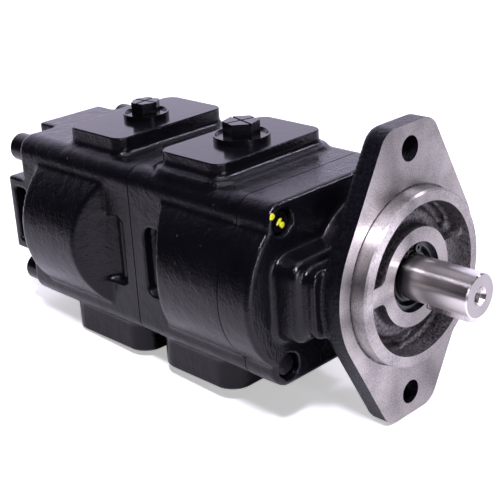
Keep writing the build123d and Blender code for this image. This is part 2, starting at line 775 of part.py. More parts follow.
# Shaft seal and the ring that holds it in its bore
with BuildPart() as shaft_seal:
    with BuildSketch(Plane.YZ.offset(ring_x)):
        Circle(seal_bore_radius - seal_clearance)
        Circle(seal_journal_radius + seal_clearance, mode=Mode.SUBTRACT)
    extrude(amount=-seal_thickness)
    with BuildSketch(Plane.YZ.offset(ring_x)):
        Circle(seal_bore_radius - seal_wall)
        Circle(seal_journal_radius + seal_wall / 2, mode=Mode.SUBTRACT)
    extrude(amount=-seal_lip_depth, mode=Mode.SUBTRACT)
shaft_seal.part.label = "shaft_seal"
export_step(shaft_seal.part, "parts/shaft_seal.step")

with BuildPart() as seal_retaining_ring:
    ring_outer = seal_bore_radius + ring_groove_depth - seal_clearance
    ring_inner = seal_bore_radius - ring_width
    ear_distance = ring_inner - ring_ear_radius / 2
    with BuildSketch(Plane.YZ.offset(ring_x + seal_clearance)):
        Circle(ring_outer)
        Circle(ring_inner, mode=Mode.SUBTRACT)
        with BuildLine():
            half_gap = math.radians(ring_gap_angle / 2)
            side_reach = 2 * ring_outer * math.sin(half_gap)
            up_reach = 2 * ring_outer * math.cos(half_gap)
            Polyline((0, 0), (side_reach, up_reach), (-side_reach, up_reach), (0, 0))
        make_face(mode=Mode.SUBTRACT)
        for ear_angle in (90 - ring_gap_angle / 2, 90 + ring_gap_angle / 2):
            with PolarLocations(ear_distance, 1, start_angle=ear_angle):
                Circle(ring_ear_radius)
                Circle(ring_ear_hole, mode=Mode.SUBTRACT)
    extrude(amount=ring_thickness)
seal_retaining_ring.part.label = "seal_retaining_ring"
export_step(seal_retaining_ring.part, "parts/seal_retaining_ring.step")


# Bearing blocks, bushes and block seals of both sections
sections = (("front", cover_joint_x), ("rear", middle_joint_x))
for section_name, section_x in sections:
    first_face = section_x
    second_face = section_x - cavity_depth
    for place, outer_face, inward, block_length in (
        ("front", first_face, -1, front_block_length),
        ("rear", second_face, 1, rear_block_length),
    ):
        block_name = f"{section_name}_section_{place}_block"
        with BuildPart() as block:
            with BuildSketch(Plane.YZ.offset(outer_face + inward * side_clearance)):
                with gear_axes():
                    Circle(block_radius)
            extrude(amount=inward * (block_length - side_clearance))
            with BuildSketch(Plane.YZ.offset(outer_face)):
                with gear_axes():
                    Circle(block_hole_radius)
            extrude(amount=inward * (block_length + root_overlap), mode=Mode.SUBTRACT)
            with BuildSketch(Plane.YZ.offset(outer_face)):
                with gear_axes():
                    Circle(block_seal_inner + block_seal_width)
                with gear_axes():
                    Circle(block_seal_inner, mode=Mode.SUBTRACT)
            extrude(amount=inward * (block_seal_depth + side_clearance), mode=Mode.SUBTRACT)
        block.part.label = block_name
        export_step(block.part, f"parts/{block_name}.step")

        with BuildPart() as block_seal:
            with BuildSketch(Plane.YZ.offset(outer_face)):
                with gear_axes():
                    Circle(block_seal_inner + block_seal_width - block_seal_squeeze_gap)
                with gear_axes():
                    Circle(block_seal_inner + block_seal_squeeze_gap, mode=Mode.SUBTRACT)
            extrude(amount=inward * block_seal_depth)
        block_seal.part.label = f"{block_name}_seal"
        export_step(block_seal.part, f"parts/{block_name}_seal.step")

        for gear_name, gear_y in (("drive", 0), ("driven", -centre_distance)):
            bush_name = f"{section_name}_section_{place}_{gear_name}_bush"
            bush_x = outer_face + inward * bush_setback
            with BuildPart() as bush:
                with BuildSketch(Plane.YZ.offset(bush_x)):
                    with Locations((gear_y, 0)):
                        Circle(bush_outer_radius)
                        Circle(bush_inner_radius, mode=Mode.SUBTRACT)
                extrude(amount=inward * (block_length - 2 * bush_setback))
            bush.part.label = bush_name
            export_step(bush.part, f"parts/{bush_name}.step")


# Gears: each is one piece with its journals, and the front drive gear is one with the drive shaft
def gear_face(section_x):
    """Front face of a section's gears."""
    return section_x - front_block_length - 2 * side_clearance


front_gear_x = gear_face(cover_joint_x)
with BuildPart() as drive_shaft:
    with BuildSketch(Plane.YZ.offset(front_gear_x)):
        gear_section()
    extrude(amount=-gear_width)
    with BuildSketch(Plane.YZ.offset(front_gear_x - gear_width - rear_journal_length)):
        Circle(journal_radius)
    extrude(amount=gear_width + front_journal_length + rear_journal_length)
    with BuildSketch(Plane.YZ.offset(front_gear_x)):
        Circle(seal_journal_radius)
    extrude(amount=seal_journal_face - front_gear_x)
    with BuildSketch(Plane.YZ):
        Circle(shaft_radius)
    extrude(amount=shaft_reach)
    shaft_rim = drive_shaft.edges().filter_by(GeomType.CIRCLE).sort_by(Axis.X)[-1]
    chamfer(shaft_rim, shaft_end_chamfer)
    with Locations(Plane.YZ.offset(shaft_reach)):
        CounterSinkHole(
            shaft_tap_radius,
            shaft_countersink_radius,
            depth=shaft_tap_depth,
            counter_sink_angle=shaft_countersink_angle,
        )
    with BuildSketch(Plane.XY.offset(-key_seat_radius)):
        with Locations((shaft_reach - key_end_setback - key_length / 2, 0)):
            SlotOverall(key_length + 2 * key_clearance, key_width + 2 * key_clearance)
    extrude(amount=-shaft_radius, mode=Mode.SUBTRACT)
    with BuildSketch(Plane.YZ.offset(front_gear_x - gear_width - rear_journal_length)):
        spline_section(spline_clearance)
    extrude(amount=coupling_bore_depth, mode=Mode.SUBTRACT)
drive_shaft.part.label = "drive_shaft"
export_step(drive_shaft.part, "parts/drive_shaft.step")

with BuildPart() as shaft_key:
    with BuildSketch(Plane.XY.offset(-key_seat_radius)):
        with Locations((shaft_reach - key_end_setback - key_length / 2, 0)):
            SlotOverall(key_length, key_width)
    extrude(amount=-key_height)
shaft_key.part.label = "shaft_key"
export_step(shaft_key.part, "parts/shaft_key.step")

rear_gear_x = gear_face(middle_joint_x)
with BuildPart() as rear_drive_gear:
    with BuildSketch(Plane.YZ.offset(rear_gear_x)):
        gear_section()
    extrude(amount=-gear_width)
    with BuildSketch(Plane.YZ.offset(rear_gear_x - gear_width - rear_journal_length)):
        Circle(journal_radius)
    extrude(amount=gear_width + front_journal_length + rear_journal_length)
    with BuildSketch(Plane.YZ.offset(rear_gear_x + front_journal_length)):
        spline_section(spline_clearance)
    extrude(amount=-coupling_bore_depth, mode=Mode.SUBTRACT)
rear_drive_gear.part.label = "rear_drive_gear"
export_step(rear_drive_gear.part, "parts/rear_drive_gear.step")

for section_name, section_x in sections:
    driven_name = f"{section_name}_driven_gear"
    driven_x = gear_face(section_x)
    with BuildPart() as driven_gear:
        with BuildSketch(Plane.YZ.offset(driven_x)):
            with Locations((-centre_distance, 0)):
                Circle(root_radius)
                with PolarLocations(0, gear_teeth, start_angle=180):
                    add(tooth.sketch)
        extrude(amount=-gear_width)
        with BuildSketch(Plane.YZ.offset(driven_x - gear_width - rear_journal_length)):
            with Locations((-centre_distance, 0)):
                Circle(journal_radius)
        extrude(amount=gear_width + front_journal_length + rear_journal_length)
    driven_gear.part.label = driven_name
    export_step(driven_gear.part, f"parts/{driven_name}.step")

coupling_x = (front_gear_x - gear_width - rear_journal_length + rear_gear_x + front_journal_length) / 2
with BuildPart() as coupling_shaft:
    with BuildSketch(Plane.YZ.offset(coupling_x - coupling_length / 2)):
        spline_section(0)
    extrude(amount=coupling_length)
coupling_shaft.part.label = "coupling_shaft"
export_step(coupling_shaft.part, "parts/coupling_shaft.step")


# Plugs that close the outlets: a dished flange, a hexagon and a cross slot
front_plug = (front_plug_hex, front_plug_hex_height, front_plug_flange_radius, front_plug_turn)
rear_plug = (rear_plug_hex, rear_plug_hex_height, rear_plug_flange_radius, rear_plug_turn)
for port_name, port_x, sizes in (("front", front_port_x, front_plug), ("rear", rear_port_x, rear_plug)):
    plug_hex, plug_hex_height, plug_flange_radius, plug_turn = sizes
    with BuildPart() as plug:
        with BuildSketch(Plane.XY.offset(outlet_pad_z - plug_stem_length)):
            with Locations((port_x, centre_y)):
                Circle(outlet_bore_radius - plug_thread_clearance)
        extrude(amount=plug_stem_length)
        with BuildSketch(Plane.XY.offset(outlet_pad_z)):
            with Locations((port_x, centre_y)):
                Circle(plug_flange_radius)
        extrude(amount=plug_flange_thickness)
        with BuildSketch(Plane.XY.offset(outlet_pad_z + plug_flange_thickness)):
            with Locations((port_x, centre_y)):
                Circle(plug_flange_radius - plug_dish_rim)
        extrude(amount=-plug_dish_depth, taper=plug_dish_angle, mode=Mode.SUBTRACT)
        with BuildSketch(Plane.XY.offset(outlet_pad_z)):
            with Locations((port_x, centre_y)):
                RegularPolygon(plug_hex / 2, 6, major_radius=False, rotation=plug_turn)
        extrude(amount=plug_flange_thickness + plug_hex_height)
        with BuildSketch(Plane.XY.offset(outlet_pad_z + plug_flange_thickness + plug_hex_height)):
            with Locations((port_x, centre_y)):
                Rectangle(2 * plug_flange_radius, plug_slot_width, rotation=plug_turn)
                Rectangle(2 * plug_flange_radius, plug_slot_width, rotation=plug_turn + 90)
        extrude(amount=-plug_slot_depth, mode=Mode.SUBTRACT)
    plug.part.label = f"{port_name}_outlet_plug"
    export_step(plug.part, f"parts/{port_name}_outlet_plug.step")
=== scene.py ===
"""Looks of the two-section gear pump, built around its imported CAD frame. All lengths are in metres."""

import math

import bmesh
import bpy
import numpy as np
from mathutils import Matrix, Vector
from mathutils.bvhtree import BVHTree


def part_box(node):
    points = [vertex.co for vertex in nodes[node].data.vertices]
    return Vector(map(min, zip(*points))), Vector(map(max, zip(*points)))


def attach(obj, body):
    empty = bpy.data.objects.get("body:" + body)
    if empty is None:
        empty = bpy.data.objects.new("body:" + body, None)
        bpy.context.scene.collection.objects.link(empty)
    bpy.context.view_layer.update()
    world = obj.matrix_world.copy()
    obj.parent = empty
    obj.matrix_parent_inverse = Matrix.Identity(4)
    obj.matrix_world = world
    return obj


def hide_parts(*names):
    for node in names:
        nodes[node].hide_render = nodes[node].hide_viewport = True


# Camera, fitted to the photo: focal length in the photo's pixels, angles in degrees
PHOTO_WIDTH = 500
CAMERA_FOCAL_PIXELS = 1168.14
CAMERA_AZIMUTH = 45.848
CAMERA_ELEVATION = 22.145
CAMERA_ROLL = -3.349
CAMERA_PLACE = (0.362451, -0.473913, 0.260721)
CAMERA_NEAR = 0.01
SENSOR_WIDTH = 36.0

# The pump rests on the tip of its flange and on the rear edge of its rear inlet pad
FLANGE_TIP = Vector((-0.0065, 0.0, -0.087))
PAD_HEEL = Vector((-0.226, 0.0, -0.073))
FLOOR_GAP = 0.0005
FLOOR_SIZE = 30

# Sizes of the castings, as the part's source has them
GEAR_AXIS_Y = -0.039798
MIDDLE_Y = GEAR_AXIS_Y / 2
CAVITY_RADIUS = 0.0234
TIE_BOLT_Y = 0.0429
TIE_BOLT_Z = 0.0424
COVER_JOINT_X = -0.058
MIDDLE_JOINT_X = -0.1485
REAR_WALL_X = -0.242
FLANGE_BACK_X = -0.013
OUTLET_TOP_Z = 0.065
INLET_FACE_Z = -0.073
PORT_X = (-0.1065, -0.1915)
INLET_BORE_RADIUS = 0.0195
PILOT_RADIUS = 0.0508
RING_INNER_RADIUS = 0.0442
SEAL_BOSS_RADIUS = 0.02865
SEAL_BORE_RADIUS = 0.0203
SHAFT_END_X = 0.046
SHAFT_BORE_RADIUS = 0.00425

# The castings' soft skin: the step of its even mesh, the rounds of smoothing, and how far each round moves a
# point towards its neighbours and back. Round the gears and the tie bolts it goes back onto the CAD surface.
CAST_VOXEL = 0.0014
SMOOTHING_ROUNDS = 5
SMOOTHING_STEPS = (0.5, -0.53)
TRUE_CAVITY_RADIUS = CAVITY_RADIUS + 0.0015
TRUE_BOLT_RADIUS = 0.0075
WELD_DISTANCE = 1e-6

# Planes where the soft skin ends and the true CAD surface goes on: axis, place, and on which side it goes on
JOINT_BAND = 0.0025
OUTLET_BAND_Z = 0.0606
INLET_BAND_Z = -0.0665
PAD_BANDS = [(2, OUTLET_BAND_Z, 1), (2, INLET_BAND_Z, -1)]
FLANGE_BANDS = [(0, -0.003, 1)]
COVER_JOINTS = [(0, COVER_JOINT_X + JOINT_BAND, -1)]
FRONT_JOINTS = [(0, COVER_JOINT_X - JOINT_BAND, 1), (0, MIDDLE_JOINT_X + JOINT_BAND, -1)]
REAR_JOINTS = [(0, MIDDLE_JOINT_X - JOINT_BAND, 1)]

# The skin nears the CAD surface over BAND_LEAD before a band and runs on beneath the band for BAND_OVERLAP,
# a little below its surface at first and by BAND_SINK past that
BAND_LEAD = 0.006
BAND_OVERLAP = 0.0015
BAND_SINK = 0.0003
BAND_FIRST_SINK = 0.1 * BAND_SINK

# Widths of the broken edges
MACHINED_EDGE = 0.0002
JOINT_EDGE = 0.0004
COVER_JOINT_EDGE = 0.00025
PAD_EDGE = 0.0003
BOLT_EDGE = 0.0005
PLUG_EDGE = 0.0004
EDGE_ANGLE = 35.0
EDGE_SEGMENTS = 2

# Material slots of the cover's pieces, and of the housings' pieces and the joint bands
COVER_PAINT, COVER_BARE, COVER_COARSE, COVER_TURNED = range(4)
HOUSING_PAINT, HOUSING_BORED, HOUSING_TRIM = range(3)

# Where one finish on the cover gives way to the next
HOLLOW_FLOOR_X = -0.0125
HOLLOW_SKIN_RADIUS = RING_INNER_RADIUS + 0.001
BORE_SKIN_RADIUS = SEAL_BORE_RADIUS + 0.0005
COARSE_X = FLANGE_BACK_X + 0.0015
COARSE_RADIUS = PILOT_RADIUS + 0.0025
FACE_RADIUS = PILOT_RADIUS + 0.0015
HOLLOW_RADII = (SEAL_BOSS_RADIUS - 0.0002, RING_INNER_RADIUS + 0.0002)
NOTCH_Y = 0.02
NOTCH_X = 0.004
GROOVE_X = -0.0001
GROOVE_RADII = (PILOT_RADIUS - 0.0002, PILOT_RADIUS + 0.0013)
BORE_RIM_RADIUS = SEAL_BORE_RADIUS + 0.0012
BOSS_FACE_X = 0.0042

# How far a face's normal lies along an axis: more than this on a face square to it, or on a pad's face, and
# less than this on a side wall
SQUARE_ON = 0.9
PAD_SQUARE_ON = 0.6
SIDE_ON = 0.5

# Where bored iron and the pads' smoother paint begin on the housings
BORED_MARGIN = 0.0006
BORED_BELOW_Z = -0.015
OUTLET_PAINT_Z = OUTLET_TOP_Z - 0.0008
INLET_PAINT_Z = INLET_FACE_Z + 0.001

# Yellow paint at the cover's upper near tie bolt: name, plane X, points Y, Z along each mark, and its radius
PAINT_MARKS = [
    ("paint_mark_1", -0.035, ((-0.0708, 0.0481),), 0.0019),
    ("paint_mark_2", -0.038, ((-0.0638, 0.0416), (-0.0618, 0.0431)), 0.0012),
    ("paint_mark_3", -0.038, ((-0.0611, 0.0402), (-0.0603, 0.0396)), 0.0017),
]
MARK_HEIGHT = 0.0005
MARK_POINTS = 40
MARK_LEVELS = 6
MARK_CROWN = 0.7
MARK_WAVES = ((0.07, 3), (0.04, 5))

# Threads: the mouth's plane, length, ridge height and pitch. The ridge is a trapezium, whose half widths at
# foot and crest are shares of the pitch, and it runs out over half a turn at each end.
INLET_THREADS = [("front_inlet_thread", PORT_X[0]), ("rear_inlet_thread", PORT_X[1])]
INLET_THREAD_Z = -0.0716
INLET_THREAD_RIDGE = 0.0009
INLET_THREAD_PITCH = 0.002117
SHAFT_THREAD_START = 0.002
SHAFT_THREAD_RIDGE = 0.0004
SHAFT_THREAD_PITCH = 0.00125
SHAFT_THREAD_SEGMENTS = 40
THREAD_LENGTH = 0.018
THREAD_SEGMENTS = 64
THREAD_FOOT = 0.46
THREAD_CREST = 0.1
THREAD_ROOTING = 0.00005
THREAD_RUN_OUT = 0.5

# Painted highlights and shade round the turned faces: tones by place round the axis, from 0 at the far side
# by way of 0.5 at the near side and 0.75 at the top
FACE_PAINTED_SWEEP = [
    (0.0, 0.5), (0.2, 0.5), (0.36, 0.63), (0.44, 0.63), (0.475, 0.45), (0.5, 0.7), (0.54, 0.46),
    (0.575, 0.95), (0.6, 1.0), (0.655, 1.0), (0.71, 0.48), (0.77, 0.53), (0.85, 0.56), (1.0, 0.5),
]
# Painted shade along the shaft, by X: dark where it runs into the seal's bore, and darker on the end face
SHAFT_PAINTED_SHADE = [(0.0025, 0.08), (0.005, 1.0), (SHAFT_END_X - 0.0003, 1.0), (SHAFT_END_X - 0.0001, 0.5)]
# Turned metal: shares of grain and cloud in its tone, and the turn that lays highlights across its marks
MOTTLE_SHARE = 0.6
CLOUD_SHARE = 0.4
QUARTER_TURN = 0.25

# Dust pimples in the paint: their spacing, size as a share of the spacing, flat top as a share of the size,
# the range of a cell's random value where they set in, and height as a share of the orange peel's
PIMPLE_SPACING = 0.006
PIMPLE_SIZE = 0.1
PIMPLE_TOP = 0.3
PIMPLE_CHOICE = (0.62, 0.66)
PIMPLE_HEIGHT = 1.2

# The room that the pump reflects: dark, with a bright backdrop behind the pump. The backdrop sets in between
# two cosines of the angle from the view's direction, and two of the angle from straight down.
ROOM_COLOUR = (0.015, 0.014, 0.018)
BACKDROP_COLOUR = (1.35, 1.25, 1.62)
BACKDROP_SIDES = (0.3, 0.7)
BACKDROP_TOP = (-0.9, -0.6)
WHITE = (1.0, 1.0, 1.0, 1.0)

# The floor glows a little to the camera alone. In reflections it darkens between these two places on Y.
FLOOR_GLOW = (0.45, 0.45, 0.44)
FLOOR_FADE = (-0.34, -0.225)
FLOOR_DARK = (0.12, 0.12, 0.12)

# Lights: the ceiling's direction, strength and width in degrees, then name, place, target, size and watts
LIGHT_COLOUR = (1.0, 0.94, 1.12)
CEILING_DIRECTION = (0.15, 0.1, 1.0)
CEILING_STRENGTH = 1.45
CEILING_WIDTH = 50
PUMP_MIDDLE = (-0.1, -0.02, 0.0)
AREA_LIGHTS = [
    ("flange_box", (1.2, -0.24, 0.12), (0.0, 0.0, 0.0), (0.25, 0.5), 5),
    ("edge_box", (0.38, -0.56, 0.96), PUMP_MIDDLE, (0.13, 0.13), 13),
    ("far_box", (0.45, 0.85, 0.85), PUMP_MIDDLE, (0.12, 0.12), 5),
]

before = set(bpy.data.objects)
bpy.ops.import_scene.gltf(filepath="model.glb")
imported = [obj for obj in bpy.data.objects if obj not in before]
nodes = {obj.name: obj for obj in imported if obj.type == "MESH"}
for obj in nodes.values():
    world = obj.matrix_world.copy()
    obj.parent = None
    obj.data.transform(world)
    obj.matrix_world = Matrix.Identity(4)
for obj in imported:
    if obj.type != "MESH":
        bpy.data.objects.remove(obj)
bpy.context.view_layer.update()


# Node trees and materials


class Nodes:
    """A node tree, with short ways to add the nodes used here."""

    def __init__(self, tree):
        self.tree = tree

    def add(self, kind, **settings):
        node = self.tree.nodes.new(kind)
        for key, value in settings.items():
            setattr(node, key, value)
        return node

    def link(self, source, target):
        """Links an output to a socket, or sets the socket to a number, a vector or a colour."""
        if isinstance(source, (int, float, tuple)):
            target.default_value = source
        else:
            self.tree.links.new(source, target)

    def calculate(self, operation, *values):
        """One operation on outputs and numbers."""
        node = self.add("ShaderNodeMath", operation=operation)
        for value, socket in zip(values, node.inputs):
            self.link(value, socket)
        return node.outputs["Value"]

    def ramp(self, value, stops):
        """A colour ramp through (position, colour) stops."""
        node = self.add("ShaderNodeValToRGB")
        elements = node.color_ramp.elements
        while len(elements) < len(stops):
            elements.new(0.5)
        for element, (position, colour) in zip(elements, stops):
            element.position = position
            element.color = (*colour, 1.0)
        self.link(value, node.inputs["Fac"])
        return node.outputs["Color"]

    def grey_ramp(self, value, stops):
        """A colour ramp through (position, tone) stops."""
        return self.ramp(value, [(position, (tone, tone, tone)) for position, tone in stops])

    def levels(self, value, low, high, from_low=0.3, from_high=0.7, interpolation="LINEAR"):
        """The value, mapped from one range to another. The first is a noise's usual range, if not given."""
        node = self.add("ShaderNodeMapRange", interpolation_type=interpolation)
        node.inputs["From Min"].default_value = from_low
        node.inputs["From Max"].default_value = from_high
        node.inputs["To Min"].default_value = low
        node.inputs["To Max"].default_value = high
        self.link(value, node.inputs["Value"])
        return node.outputs["Result"]

    def mixed(self, first, second, share=1.0, blend="MULTIPLY"):
        """Two colours mixed by this share."""
        node = self.add("ShaderNodeMix", data_type="RGBA", blend_type=blend)
        self.link(share, node.inputs["Factor"])
        self.link(first, node.inputs["A"])
        self.link(second, node.inputs["B"])
        return node.outputs["Result"]

    def seen(self):
        """1 for the camera's own rays and 0 for all others, such as reflections."""
        return self.add("ShaderNodeLightPath").outputs["Is Camera Ray"]


class Shader(Nodes):
    """A material's node tree. Noise and patterns lie in the object's coordinates."""

    SOCKETS = {
        "metallic": "Metallic",
        "specular": "Specular IOR Level",
        "anisotropy": "Anisotropic",
        "turn": "Anisotropic Rotation",
        "glow": "Emission Color",
        "glow_strength": "Emission Strength",
    }

    def __init__(self, name):
        self.material = bpy.data.materials.new(name)
        self.material.use_nodes = True
        super().__init__(self.material.node_tree)
        self.surface = self.tree.nodes["Principled BSDF"]
        self.place = self.add("ShaderNodeTexCoord").outputs["Object"]

    def stretched(self, scale):
        """The object's coordinates, scaled along each axis."""
        node = self.add("ShaderNodeMapping")
        self.link(scale, node.inputs["Scale"])
        self.link(self.place, node.inputs["Vector"])
        return node.outputs["Vector"]

    def noise(self, feature, detail=2.0, roughness=0.5, place=None):
        """Noise whose features are about this many metres across."""
        node = self.add("ShaderNodeTexNoise")
        node.inputs["Scale"].default_value = 1.0 / feature
        node.inputs["Detail"].default_value = detail
        node.inputs["Roughness"].default_value = roughness
        self.link(place or self.place, node.inputs["Vector"])
        return node.outputs["Fac"]

    def tones(self, value, dark, light, start=0.3, end=0.7):
        """A colour that goes from dark to light between two values of a noise."""
        return self.ramp(value, [(start, dark), (end, light)])

    def bump(self, height, distance, normal=None):
        """A bump of this many metres, on top of an earlier one."""
        node = self.add("ShaderNodeBump")
        node.inputs["Distance"].default_value = distance
        node.inputs["Strength"].default_value = 1.0
        self.link(height, node.inputs["Height"])
        if normal is not None:
            self.link(normal, node.inputs["Normal"])
        return node.outputs["Normal"]

    def pimples(self):
        """Small round spots, one in some of the cells of a random pattern."""
        cells = self.add("ShaderNodeTexVoronoi")
        cells.inputs["Scale"].default_value = 1.0 / PIMPLE_SPACING
        self.link(self.place, cells.inputs["Vector"])
        spot = self.levels(cells.outputs["Distance"], 1.0, 0.0, PIMPLE_TOP * PIMPLE_SIZE, PIMPLE_SIZE)
        rare = self.levels(cells.outputs["Color"], 0.0, 1.0, *PIMPLE_CHOICE)
        return self.calculate("MULTIPLY", spot, rare)

    def sweep(self):
        """A share that runs round the X axis: 0 and 1 at the far side, 0.5 at the near side, 0.75 on top."""
        parts = self.add("ShaderNodeSeparateXYZ")
        self.link(self.place, parts.inputs["Vector"])
        near = self.calculate("MULTIPLY", parts.outputs["Y"], -1.0)
        angle = self.calculate("ARCTAN2", parts.outputs["Z"], near)
        return self.levels(angle, 0.0, 1.0, -math.pi, math.pi)

    def along(self, axis, low, high, place=None):
        """A share that runs from 0 to 1 between two places on an axis."""
        parts = self.add("ShaderNodeSeparateXYZ")
        self.link(place or self.place, parts.inputs["Vector"])
        return self.levels(parts.outputs[axis], 0.0, 1.0, low, high)

    def finish(self, colour, roughness, normal=None, **values):
        """The material, with its colour, roughness and normal, and values for the shader's other sockets."""
        for key, value in values.items():
            self.link(value, self.surface.inputs[self.SOCKETS[key]])
        self.link(colour, self.surface.inputs["Base Color"])
        self.link(roughness, self.surface.inputs["Roughness"])
        if normal is not None:
            self.link(normal, self.surface.inputs["Normal"])
        return self.material


def black_paint(name, lumps, peel, roughness):
    """Thick glossy black paint over a sand casting: lumps, orange peel and a few dust pimples."""
    s = Shader(name)
    colour = s.tones(s.noise(0.03, detail=3), (0.0024, 0.0024, 0.0034), (0.0042, 0.004, 0.006))
    gloss = s.levels(s.noise(0.01, detail=5, roughness=0.6), *roughness)
    normal = s.bump(s.noise(0.008, detail=3), lumps)
    normal = s.bump(s.noise(0.0016, detail=4, roughness=0.6), peel, normal)
    normal = s.bump(s.pimples(), peel * PIMPLE_HEIGHT, normal)
    return s.finish(colour, gloss, normal, specular=0.25)


def rough_paint():
    """The same paint on the flange's coarser sand-cast edges."""
    s = Shader("rough_paint")
    dark, light = (0.003, 0.003, 0.0045), (0.008, 0.0075, 0.0105)
    colour = s.tones(s.noise(0.002, detail=3), dark, light, 0.35, 0.75)
    roughness = s.levels(s.noise(0.003, detail=4), 0.16, 0.3)
    normal = s.bump(s.noise(0.0019, detail=3, roughness=0.55), 0.0005)
    normal = s.bump(s.noise(0.0008, detail=3, roughness=0.6), 0.00015, normal)
    return s.finish(colour, roughness, normal, specular=0.15)


def turned(name, dark, light, roughness, relief, painted_round_light=None, long_painted_shade=None):
    """Metal turned or ground about the shaft's axis, with a fine mottled grain. Painted highlights and shade
    can run round the axis, and painted shade along it."""
    s = Shader(name)
    cloud = s.noise(0.02, detail=4)
    mottle = s.noise(0.0009, detail=4, roughness=0.7)
    both = s.calculate("MULTIPLY_ADD", mottle, MOTTLE_SHARE, s.calculate("MULTIPLY", cloud, CLOUD_SHARE))
    colour = s.tones(both, dark, light, 0.38, 0.56)
    # Painted highlights and shade: the colour darkens and lightens by place round the X axis
    if painted_round_light:
        colour = s.mixed(colour, s.grey_ramp(s.sweep(), painted_round_light))
    # Painted shade: the colour darkens by place along the X axis
    if long_painted_shade:
        start, end = long_painted_shade[0][0], long_painted_shade[-1][0]
        stops = [((x - start) / (end - start), tone) for x, tone in long_painted_shade]
        colour = s.mixed(colour, s.grey_ramp(s.along("X", start, end), stops))
    turning = s.add("ShaderNodeTangent", direction_type="RADIAL", axis="X")
    s.link(turning.outputs["Tangent"], s.surface.inputs["Tangent"])
    gloss = s.levels(mottle, *roughness)
    normal = s.bump(mottle, relief)
    return s.finish(colour, gloss, normal, metallic=1.0, anisotropy=0.85, turn=QUARTER_TURN)


def cast_iron():
    """Bare sand-cast iron inside the hollow of the flange."""
    s = Shader("cast_iron")
    grain = s.noise(0.0014, detail=4, roughness=0.65)
    dark, light = (0.035, 0.033, 0.037), (0.29, 0.275, 0.28)
    colour = s.tones(s.noise(0.0016, detail=5, roughness=0.7), dark, light, 0.36, 0.66)
    return s.finish(colour, s.levels(grain, 0.28, 0.5), s.bump(grain, 0.0006), metallic=0.85)


def ground_steel():
    """Ground steel with fine marks that run round the shaft's axis."""
    s = Shader("ground_steel")
    marks = s.noise(0.0005, detail=3, roughness=0.6, place=s.stretched((1.0, 0.06, 0.06)))
    colour = s.tones(s.noise(0.008, detail=3), (0.56, 0.53, 0.52), (0.66, 0.63, 0.62))
    return s.finish(colour, s.levels(marks, 0.18, 0.3), s.bump(marks, 0.000004), metallic=1.0)


def plain_metal(name, dark, light, roughness, grain, relief):
    """A metal with a fine grain."""
    s = Shader(name)
    grains = s.noise(grain, detail=3, roughness=0.6)
    colour = s.tones(s.noise(grain * 12, detail=3), dark, light)
    return s.finish(colour, s.levels(grains, *roughness), s.bump(grains, relief), metallic=1.0)


def moulded(name, dark, light, roughness, grain, relief, specular=0.5):
    """Rubber, plastic or thick paint with a fine even grain."""
    s = Shader(name)
    grains = s.noise(grain, detail=3, roughness=0.55)
    colour = s.tones(s.noise(grain * 8, detail=3), dark, light)
    return s.finish(colour, s.levels(grains, *roughness), s.bump(grains, relief), specular=specular)


PAINT = black_paint("black_paint", lumps=0.0004, peel=0.00025, roughness=(0.06, 0.15))
SMOOTH_PAINT = black_paint("smooth_black_paint", lumps=0.00003, peel=0.00001, roughness=(0.12, 0.2))
ROUGH_PAINT = rough_paint()
CAST = cast_iron()
STEEL = ground_steel()
# Machined iron, with painted highlights and shade round the turned faces
MACHINED = turned("machined_iron", (0.36, 0.342, 0.33), (0.77, 0.735, 0.705), roughness=(0.34, 0.46),
                  relief=0.00003, painted_round_light=FACE_PAINTED_SWEEP)
# Shaft steel, with painted shade by the seal and on its end face
SHAFT_STEEL = turned("shaft_steel", (0.72, 0.692, 0.664), (0.76, 0.732, 0.704), roughness=(0.235, 0.245),
                     relief=0.0000005, long_painted_shade=SHAFT_PAINTED_SHADE)
BORED = plain_metal("bored_iron", (0.2, 0.19, 0.19), (0.3, 0.285, 0.285), roughness=(0.3, 0.45),
                    grain=0.0006, relief=0.00002)
SPRING_STEEL = plain_metal("spring_steel", (0.05, 0.05, 0.055), (0.1, 0.1, 0.11), roughness=(0.25, 0.4),
                           grain=0.0005, relief=0.00001)
ALUMINIUM = plain_metal("bearing_aluminium", (0.55, 0.56, 0.57), (0.68, 0.69, 0.7), roughness=(0.22, 0.4),
                        grain=0.0006, relief=0.00002)
BRONZE = plain_metal("bush_bronze", (0.5, 0.3, 0.13), (0.62, 0.4, 0.2), roughness=(0.2, 0.38),
                     grain=0.0005, relief=0.00002)
RUBBER = moulded("seal_rubber", (0.008, 0.008, 0.008), (0.016, 0.016, 0.016), roughness=(0.4, 0.6),
                 grain=0.0005, relief=0.00002)
PLASTIC = moulded("plug_plastic", (0.002, 0.002, 0.0025), (0.004, 0.004, 0.005), roughness=(0.14, 0.24),
                  grain=0.002, relief=0.00003, specular=0.35)
YELLOW_PAINT = moulded("yellow_paint", (0.55, 0.56, 0.01), (0.78, 0.78, 0.03), roughness=(0.2, 0.35),
                       grain=0.0006, relief=0.00008)
JOINT_LINE = moulded("joint_line", (0.001, 0.001, 0.001), (0.002, 0.002, 0.002), roughness=(0.7, 0.9),
                     grain=0.002, relief=0.00001, specular=0.05)


# Castings: softened copies of the CAD solids


def placed(name, mesh):
    """An object with this mesh, in the scene."""
    piece = bpy.data.objects.new(name, mesh)
    bpy.context.scene.collection.objects.link(piece)
    return piece


def placed_form(name, made):
    """An object with the mesh that was made, in the scene."""
    mesh = bpy.data.meshes.new(name)
    made.to_mesh(mesh)
    made.free()
    return placed(name, mesh)


def welded_copy(node):
    """The CAD node's mesh with its split corners joined."""
    made = bmesh.new()
    made.from_mesh(nodes[node].data)
    bmesh.ops.remove_doubles(made, verts=made.verts, dist=WELD_DISTANCE)
    return made


